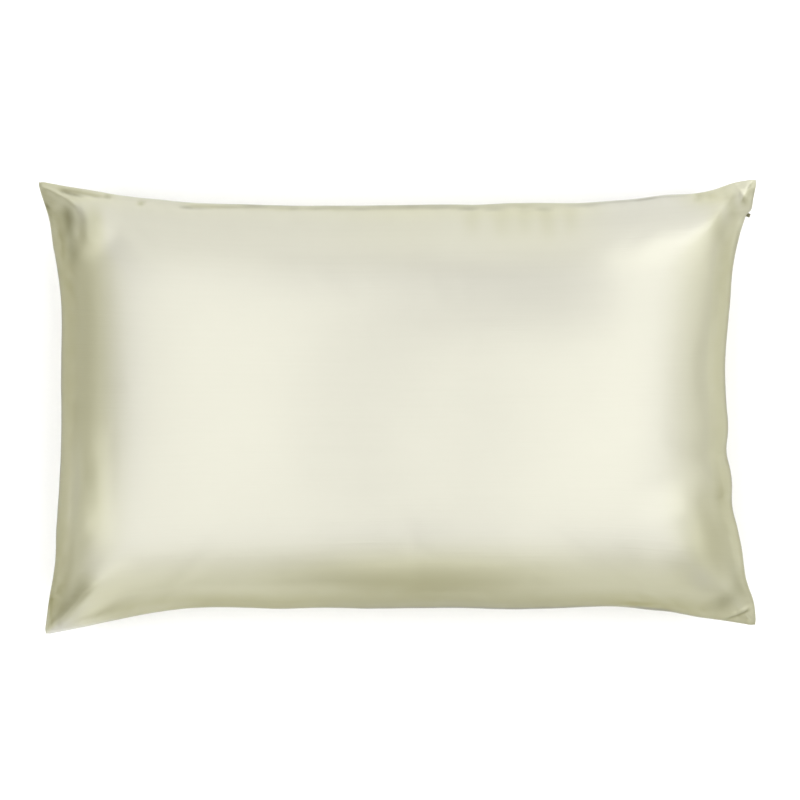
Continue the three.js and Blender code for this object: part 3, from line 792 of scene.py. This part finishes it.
# ---- The studio ---------------------------------------------------------------------------------
# A sheet of white background paper to lie on, a ceiling of soft boxes with a dark slit along its
# middle and one dim box beside it, and windows beyond the long and the right-hand edges. Nothing
# here is part of the object.
FLOOR_HALF = 4.0  # in metres, like the soft boxes below
bm = bmesh.new()
bmesh.ops.create_grid(bm, x_segments=1, y_segments=1, size=FLOOR_HALF)
floor_mesh = bpy.data.meshes.new("floor")
bm.to_mesh(floor_mesh)
bm.free()
floor = bpy.data.objects.new("floor", floor_mesh)
bpy.context.scene.collection.objects.link(floor)

# Uncoated white paper, rolled smooth: an even matt white with a faint clumping of its fibres, in
# clumps of this many millimetres.
FIBRE_CLUMP, PAPER_THIN, PAPER_THICK = 3.846, "fafafa", "fefefe"
white = bpy.data.materials.new("white_paper")
white.use_nodes = True
white_shader = white.node_tree.nodes["Principled BSDF"]
white_shader.inputs["Roughness"].default_value = 0.9
floor_place = add_node(white, "ShaderNodeTexCoord")
fibres = add_node(
    white,
    "ShaderNodeTexNoise",
    {"Scale": 1 / (FIBRE_CLUMP * MM), "Detail": 4.0},
    Vector=floor_place.outputs["Object"],
)
pulp = add_node(white, "ShaderNodeValToRGB", Fac=fibres.outputs["Fac"])
pulp.color_ramp.elements[0].color = linear(PAPER_THIN)
pulp.color_ramp.elements[1].color = linear(PAPER_THICK)
white.node_tree.links.new(pulp.outputs["Color"], white_shader.inputs["Base Color"])
floor.data.materials.append(white)

PILLOW_MIDDLE = Vector((0, 0, SEAM_HEIGHT * MM))

# Each soft box, in metres: (its middle, the point it faces, width, height, and its brightness,
# where 1 is as bright as white shows).
SOFT_BOXES = {
    "left_low": ((-1.36, -1.30, 2.0), (-1.36, -1.30, 0), 2.48, 2.6, 2.17),
    "left_high": ((-1.16, 0.75, 2.0), (-1.16, 0.75, 0), 2.08, 1.5, 2.2),
    "right_low": ((0.73, -2.60, 2.0), (0.73, -2.60, 0), 0.75, 0.44, 2.25),
    "right_inner": ((0.61, -0.88, 2.0), (0.61, -0.88, 0), 0.98, 2.96, 2.21),
    "right_outer": ((1.85, 0.40, 2.0), (1.85, 0.40, 0), 1.5, 2.4, 2.45),
    "top_right": ((1.85, 2.25, 2.0), (1.85, 2.25, 0), 1.5, 1.0, 5.5),
    "top_left": ((-1.10, 2.05, 2.0), (-1.10, 2.05, 0), 1.4, 1.0, 2.1),
    "top_middle": ((0.61, 1.10, 2.0), (0.61, 1.10, 0), 0.98, 1.0, 0.55),
    "slit_low": ((0, -1.55, 2.0), (0, -1.55, 0), 0.24, 1.3, 0.9),
    "slit_high": ((0, 1.55, 2.0), (0, 1.55, 0), 0.24, 1.3, 2.2),
    "back_window": ((0, 2.6, 1.0), (0, 0, 1.0), 4.0, 1.85, 1.3),
    "front_left": ((-1.15, -2.6, 1.0), (-1.15, 0, 1.0), 1.3, 1.4, 1.3),
    "front_right": ((0.90, -2.6, 1.0), (0.90, 0, 1.0), 0.9, 1.4, 1.0),
    "right_corner": ((1.50, -1.25, 2.0), (1.50, -1.25, 0), 0.8, 0.9, 2.8),
    "left_corner": ((-3.0, -1.75, 2.0), (-3.0, -1.75, 0), 0.8, 1.1, 2.4),
    "right_window": ((2.7, 0, 1.4), (0, 0, 1.4), 4.0, 1.0, 1.1),
}
for name, (middle, faces, width, height, brightness) in SOFT_BOXES.items():
    light = bpy.data.lights.new(name, "AREA")
    light.shape = "RECTANGLE"
    light.size, light.size_y = width, height
    light.energy = brightness * math.pi * width * height
    lamp = bpy.data.objects.new(name, light)
    lamp.location = middle
    lamp.rotation_euler = (Vector(middle) - Vector(faces)).to_track_quat("Z", "Y").to_euler()
    bpy.context.scene.collection.objects.link(lamp)

world = bpy.data.worlds.new("studio")
world.use_nodes = True
world.node_tree.nodes["Background"].inputs["Color"].default_value = (1, 1, 1, 1)
world.node_tree.nodes["Background"].inputs["Strength"].default_value = 0.03
bpy.context.scene.world = world
bpy.context.scene.view_settings.view_transform = "Standard"

# Straight overhead, through a long lens, with a little more room above the pillow than below.
LENS, SENSOR = 120.0, 36.0
FRAME_WIDTH = 0.8192  # what the frame takes in at the height of the seam, in metres
CAMERA_RIGHT, CAMERA_UP = 0.0026, 0.0064
camera_data = bpy.data.cameras.new("camera")
camera_data.lens = LENS
camera_data.sensor_width = SENSOR
camera = bpy.data.objects.new("camera", camera_data)
camera.location = PILLOW_MIDDLE + Vector((CAMERA_RIGHT, CAMERA_UP, FRAME_WIDTH * LENS / SENSOR))
bpy.context.scene.collection.objects.link(camera)
bpy.context.scene.camera = camera
